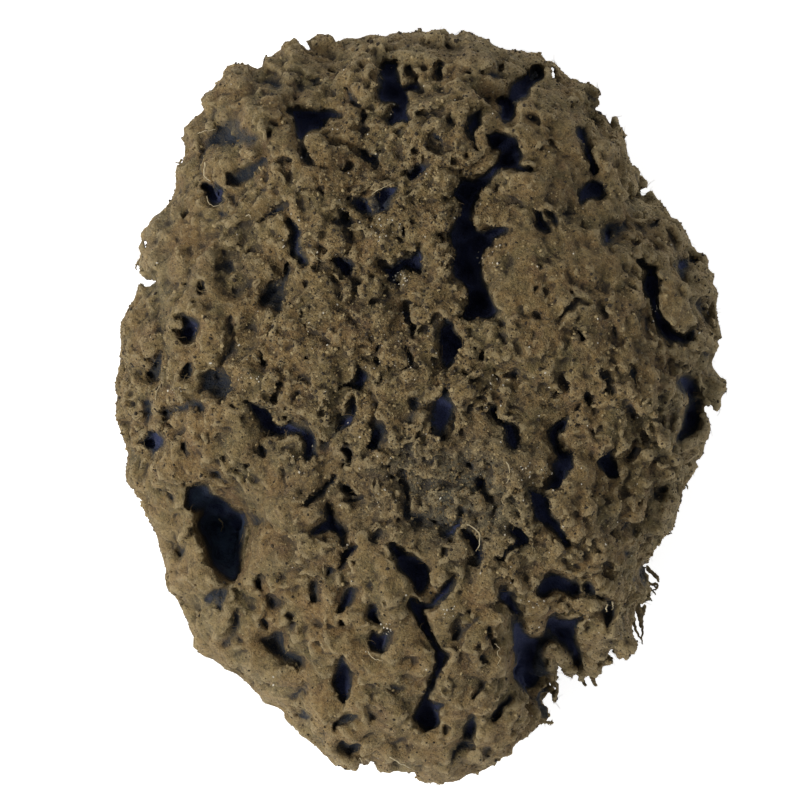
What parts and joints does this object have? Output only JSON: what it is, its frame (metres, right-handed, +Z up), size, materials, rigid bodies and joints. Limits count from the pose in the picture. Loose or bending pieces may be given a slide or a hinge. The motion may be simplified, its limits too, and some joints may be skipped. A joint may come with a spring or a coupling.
{
  "type": "sea sponge",
  "caption": "Dried natural sea sponge, a rough brown loaf with lobes, cracks and pits, cut flat underneath so that it rests on a surface.",
  "frame": {"origin": "on the flat cut base, under the middle of the sponge's outline", "axes": "+Z up through the crown, +Y along the longer way of the outline, +X across it"},
  "size_m": [0.1231, 0.152, 0.0649],
  "materials": {
    "sponge": "dry, rough and porous, olive brown, paler on its edges and dark in its holes",
    "fibre": "dry horny fibres, pale straw",
    "grit": "pale sand grains and shell crumbs, matt"
  },
  "bodies": {
    "root": {"sponge": "sponge"}
  },
  "joints": []
}
